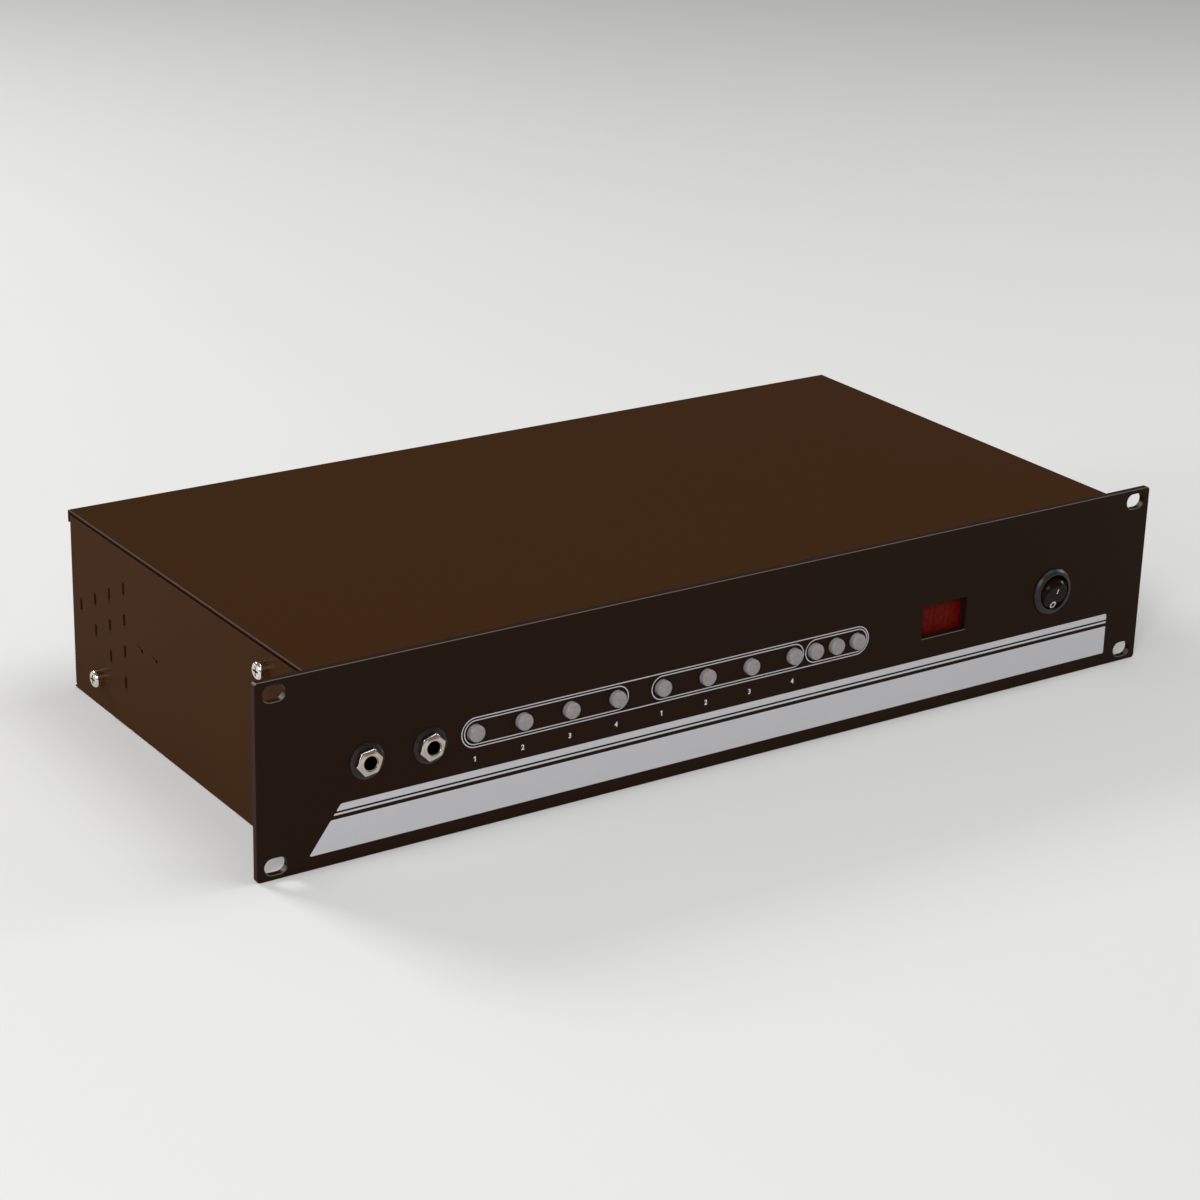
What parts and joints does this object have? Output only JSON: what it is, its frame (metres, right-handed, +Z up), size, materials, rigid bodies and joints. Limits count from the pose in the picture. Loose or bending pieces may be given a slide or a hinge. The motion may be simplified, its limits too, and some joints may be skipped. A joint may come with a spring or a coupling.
{
  "type": "rack-mount amp switcher",
  "caption": "Two-unit rack box that switches guitar amps and cabinets, with round push buttons, a digit display, a rocker power switch and jack sockets.",
  "frame": {"origin": "centre of the whole object's footprint, at the height of its underside", "axes": "+X right along the front panel, +Y from the front panel to the rear, +Z up"},
  "size_m": [0.4826, 0.2324, 0.0881],
  "materials": {
    "panel_black": "satin black paint with silver printing",
    "case_black": "fine satin black powder coat",
    "button_grey": "frosted translucent light grey plastic",
    "black_plastic": "black moulded plastic",
    "jack_nickel": "nickel plated brass",
    "din_black": "black plastic insert",
    "screw_chrome": "bright nickel plate",
    "screw_black": "black oxide steel",
    "inner_steel": "zinc plated steel",
    "contact_brass": "tinned brass",
    "filter_red": "deep red filter",
    "display_black": "dark moulded plastic",
    "board_green": "solder mask over glass fibre",
    "component_black": "moulded component cases",
    "lamp_clear": "diffused lamp",
    "fuse_glass": "glass tube",
    "transformer_film": "wrapped insulating film",
    "pad_rubber": "rubber",
    "cable_grey": "flexible insulation"
  },
  "bodies": {
    "case": {"front_panel": "panel_black", "side_wall_left": "case_black", "side_wall_right": "case_black", "bottom_tray": "case_black", "top_cover": "case_black", "rear_panel": "case_black", "jack_collars": "black_plastic", "power_switch_body": "black_plastic", "mains_inlet": "black_plastic", "front_jacks": "jack_nickel", "front_jack_nuts": "jack_nickel", "rear_jacks_upper": "jack_nickel", "rear_jacks_lower": "jack_nickel", "rear_jack_nuts": "jack_nickel", "din_sockets": "din_black", "cover_screws": "screw_chrome", "rear_screws": "screw_black", "regulator_screws": "screw_black", "inlet_screws": "screw_black", "tab_nuts": "inner_steel", "panel_studs": "inner_steel", "panel_nuts": "inner_steel", "board_pillars": "inner_steel", "standoffs": "inner_steel", "board_screws": "inner_steel", "transformer_clamp": "inner_steel", "inlet_pins": "contact_brass", "power_switch_blades": "contact_brass", "display_filter": "filter_red", "display_frame": "display_black", "digit_display": "display_black", "control_board": "board_green", "jack_board": "board_green", "relay_board": "board_green", "power_board": "board_green", "button_switches": "component_black", "relays": "component_black", "board_connectors": "component_black", "board_chips": "component_black", "regulators": "component_black", "power_capacitors": "component_black", "button_lamps": "lamp_clear", "transformer": "transformer_film", "transformer_pads": "pad_rubber", "ribbon_cables": "cable_grey", "lead_wires": "cable_grey"},
    "amp_button_1": {"amp_button_1": "button_grey"},
    "amp_button_2": {"amp_button_2": "button_grey"},
    "amp_button_3": {"amp_button_3": "button_grey"},
    "amp_button_4": {"amp_button_4": "button_grey"},
    "cab_button_1": {"cab_button_1": "button_grey"},
    "cab_button_2": {"cab_button_2": "button_grey"},
    "cab_button_3": {"cab_button_3": "button_grey"},
    "cab_button_4": {"cab_button_4": "button_grey"},
    "mode_button_1": {"mode_button_1": "button_grey"},
    "mode_button_2": {"mode_button_2": "button_grey"},
    "mode_button_3": {"mode_button_3": "button_grey"},
    "rocker": {"power_rocker": "black_plastic"},
    "drawer": {"fuse_drawer": "black_plastic", "fuse": "fuse_glass"}
  },
  "joints": [
    {"name": "amp_button_1_press", "type": "slide", "parent": "case", "child": "amp_button_1", "axis": [0, 1, 0], "range_m": [0, 0.001], "stiffness_N_per_m": 800, "springref_m": -0.0005},
    {"name": "amp_button_2_press", "type": "slide", "parent": "case", "child": "amp_button_2", "axis": [0, 1, 0], "range_m": [0, 0.001], "stiffness_N_per_m": 800, "springref_m": -0.0005},
    {"name": "amp_button_3_press", "type": "slide", "parent": "case", "child": "amp_button_3", "axis": [0, 1, 0], "range_m": [0, 0.001], "stiffness_N_per_m": 800, "springref_m": -0.0005},
    {"name": "amp_button_4_press", "type": "slide", "parent": "case", "child": "amp_button_4", "axis": [0, 1, 0], "range_m": [0, 0.001], "stiffness_N_per_m": 800, "springref_m": -0.0005},
    {"name": "cab_button_1_press", "type": "slide", "parent": "case", "child": "cab_button_1", "axis": [0, 1, 0], "range_m": [0, 0.001], "stiffness_N_per_m": 800, "springref_m": -0.0005},
    {"name": "cab_button_2_press", "type": "slide", "parent": "case", "child": "cab_button_2", "axis": [0, 1, 0], "range_m": [0, 0.001], "stiffness_N_per_m": 800, "springref_m": -0.0005},
    {"name": "cab_button_3_press", "type": "slide", "parent": "case", "child": "cab_button_3", "axis": [0, 1, 0], "range_m": [0, 0.001], "stiffness_N_per_m": 800, "springref_m": -0.0005},
    {"name": "cab_button_4_press", "type": "slide", "parent": "case", "child": "cab_button_4", "axis": [0, 1, 0], "range_m": [0, 0.001], "stiffness_N_per_m": 800, "springref_m": -0.0005},
    {"name": "mode_button_1_press", "type": "slide", "parent": "case", "child": "mode_button_1", "axis": [0, 1, 0], "range_m": [0, 0.001], "stiffness_N_per_m": 800, "springref_m": -0.0005},
    {"name": "mode_button_2_press", "type": "slide", "parent": "case", "child": "mode_button_2", "axis": [0, 1, 0], "range_m": [0, 0.001], "stiffness_N_per_m": 800, "springref_m": -0.0005},
    {"name": "mode_button_3_press", "type": "slide", "parent": "case", "child": "mode_button_3", "axis": [0, 1, 0], "range_m": [0, 0.001], "stiffness_N_per_m": 800, "springref_m": -0.0005},
    {"name": "power_rocker_tilt", "type": "hinge", "parent": "case", "child": "rocker", "pos_m": [0.183, -0.10847, 0.0455], "axis": [-1, 0, 0], "range_deg": [0, 38]},
    {"name": "fuse_drawer_slide", "type": "slide", "parent": "case", "child": "drawer", "axis": [0, 1, 0], "range_m": [0, 0.018]}
  ]
}
